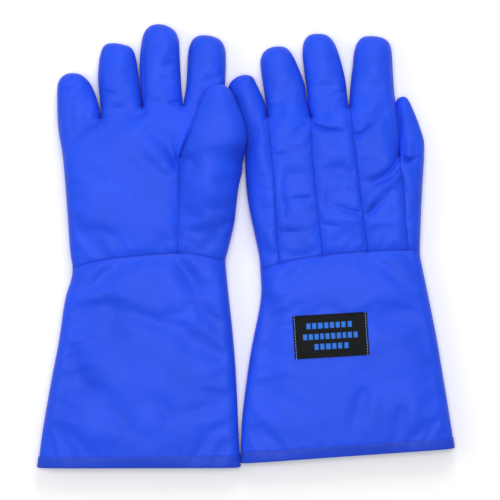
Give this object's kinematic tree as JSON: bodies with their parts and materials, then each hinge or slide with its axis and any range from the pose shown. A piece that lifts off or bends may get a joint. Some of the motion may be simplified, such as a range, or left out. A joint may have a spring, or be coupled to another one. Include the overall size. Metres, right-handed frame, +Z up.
{
  "type": "cryogenic gloves",
  "caption": "Pair of padded cryogenic gloves with long gauntlet cuffs lying flat, one palm up and one back up, with folding fingers, thumbs and cuffs.",
  "frame": {"origin": "middle of the pair's box, on the table", "axes": "+X across the pair, +Y towards the fingertips, +Z up from the table"},
  "size_m": [0.3676, 0.3906, 0.0466],
  "materials": {
    "shell_nylon": "smooth satin water-resistant woven nylon, royal blue",
    "hem_binding": "turned hem of the same royal blue nylon",
    "insulation_felt": "off-white needled polyester felt",
    "lining_fleece": "pale brushed fleece",
    "woven_label": "near-black damask-woven label",
    "label_thread": "light blue polyester thread"
  },
  "bodies": {
    "right_hand": {"right_palm_panel": "shell_nylon", "right_thumb_gusset": "shell_nylon", "right_back_strip_little": "shell_nylon", "right_back_strip_ring": "shell_nylon", "right_back_strip_middle": "shell_nylon", "right_back_strip_index": "shell_nylon", "right_hand_insulation": "insulation_felt", "right_hand_lining": "lining_fleece"},
    "right_gauntlet": {"right_gauntlet_palm_panel": "shell_nylon", "right_gauntlet_back_panel": "shell_nylon", "right_gauntlet_insulation": "insulation_felt", "right_gauntlet_lining": "lining_fleece", "right_hem_band": "hem_binding"},
    "right_little": {"right_little_shell": "shell_nylon", "right_little_insulation": "insulation_felt", "right_little_lining": "lining_fleece"},
    "right_ring": {"right_ring_shell": "shell_nylon", "right_ring_insulation": "insulation_felt", "right_ring_lining": "lining_fleece"},
    "right_middle": {"right_middle_shell": "shell_nylon", "right_middle_insulation": "insulation_felt", "right_middle_lining": "lining_fleece"},
    "right_index": {"right_index_shell": "shell_nylon", "right_index_insulation": "insulation_felt", "right_index_lining": "lining_fleece"},
    "right_thumb": {"right_thumb_shell": "shell_nylon", "right_thumb_insulation": "insulation_felt", "right_thumb_lining": "lining_fleece"},
    "left_hand": {"left_palm_panel": "shell_nylon", "left_thumb_gusset": "shell_nylon", "left_back_strip_little": "shell_nylon", "left_back_strip_ring": "shell_nylon", "left_back_strip_middle": "shell_nylon", "left_back_strip_index": "shell_nylon", "left_hand_insulation": "insulation_felt", "left_hand_lining": "lining_fleece"},
    "left_gauntlet": {"left_gauntlet_palm_panel": "shell_nylon", "left_gauntlet_back_panel": "shell_nylon", "left_gauntlet_insulation": "insulation_felt", "left_gauntlet_lining": "lining_fleece", "left_hem_band": "hem_binding", "woven_label": "woven_label", "label_stitches_left": "label_thread", "label_stitches_right": "label_thread"},
    "left_little": {"left_little_shell": "shell_nylon", "left_little_insulation": "insulation_felt", "left_little_lining": "lining_fleece"},
    "left_ring": {"left_ring_shell": "shell_nylon", "left_ring_insulation": "insulation_felt", "left_ring_lining": "lining_fleece"},
    "left_middle": {"left_middle_shell": "shell_nylon", "left_middle_insulation": "insulation_felt", "left_middle_lining": "lining_fleece"},
    "left_index": {"left_index_shell": "shell_nylon", "left_index_insulation": "insulation_felt", "left_index_lining": "lining_fleece"},
    "left_thumb": {"left_thumb_shell": "shell_nylon", "left_thumb_insulation": "insulation_felt", "left_thumb_lining": "lining_fleece"}
  },
  "joints": [
    {"name": "right_little_fold", "type": "hinge", "parent": "right_hand", "child": "right_little", "pos_m": [-0.1485, 0.126, 0.0152], "axis": [1, 0, 0], "range_deg": [0, 60]},
    {"name": "right_ring_fold", "type": "hinge", "parent": "right_hand", "child": "right_ring", "pos_m": [-0.1112, 0.132, 0.0165], "axis": [1, 0, 0], "range_deg": [0, 60]},
    {"name": "right_middle_fold", "type": "hinge", "parent": "right_hand", "child": "right_middle", "pos_m": [-0.0744, 0.136, 0.0164], "axis": [1, 0, 0], "range_deg": [0, 60]},
    {"name": "right_index_fold", "type": "hinge", "parent": "right_hand", "child": "right_index", "pos_m": [-0.035, 0.143, 0.0158], "axis": [1, 0, 0], "range_deg": [0, 60]},
    {"name": "right_thumb_lift", "type": "hinge", "parent": "right_hand", "child": "right_thumb", "pos_m": [-0.03, 0.076, 0.0385], "axis": [1, 0, 0], "range_deg": [0, 60]},
    {"name": "right_cuff_fold", "type": "hinge", "parent": "right_hand", "child": "right_gauntlet", "pos_m": [-0.0858, -0.011, 0.0165], "axis": [-1, 0, 0], "range_deg": [0, 60]},
    {"name": "left_little_lift", "type": "hinge", "parent": "left_hand", "child": "left_little", "pos_m": [0.0029, 0.127, 0.0145], "axis": [1, 0, 0], "range_deg": [0, 45]},
    {"name": "left_ring_lift", "type": "hinge", "parent": "left_hand", "child": "left_ring", "pos_m": [0.0344, 0.131, 0.0165], "axis": [1, 0, 0], "range_deg": [0, 45]},
    {"name": "left_middle_lift", "type": "hinge", "parent": "left_hand", "child": "left_middle", "pos_m": [0.072, 0.135, 0.0165], "axis": [1, 0, 0], "range_deg": [0, 45]},
    {"name": "left_index_lift", "type": "hinge", "parent": "left_hand", "child": "left_index", "pos_m": [0.1118, 0.132, 0.0172], "axis": [1, 0, 0], "range_deg": [0, 45]},
    {"name": "left_thumb_swing", "type": "hinge", "parent": "left_hand", "child": "left_thumb", "pos_m": [0.15, 0.076, 0.0105], "axis": [0, 0, -1], "range_deg": [0, 35]},
    {"name": "left_cuff_fold", "type": "hinge", "parent": "left_hand", "child": "left_gauntlet", "pos_m": [0.0822, -0.011, 0.0165], "axis": [-1, 0, 0], "range_deg": [0, 60]},
    {"name": "gloves_apart", "type": "slide", "parent": "right_hand", "child": "left_hand", "axis": [1, 0, 0], "range_m": [0, 0.12]}
  ]
}
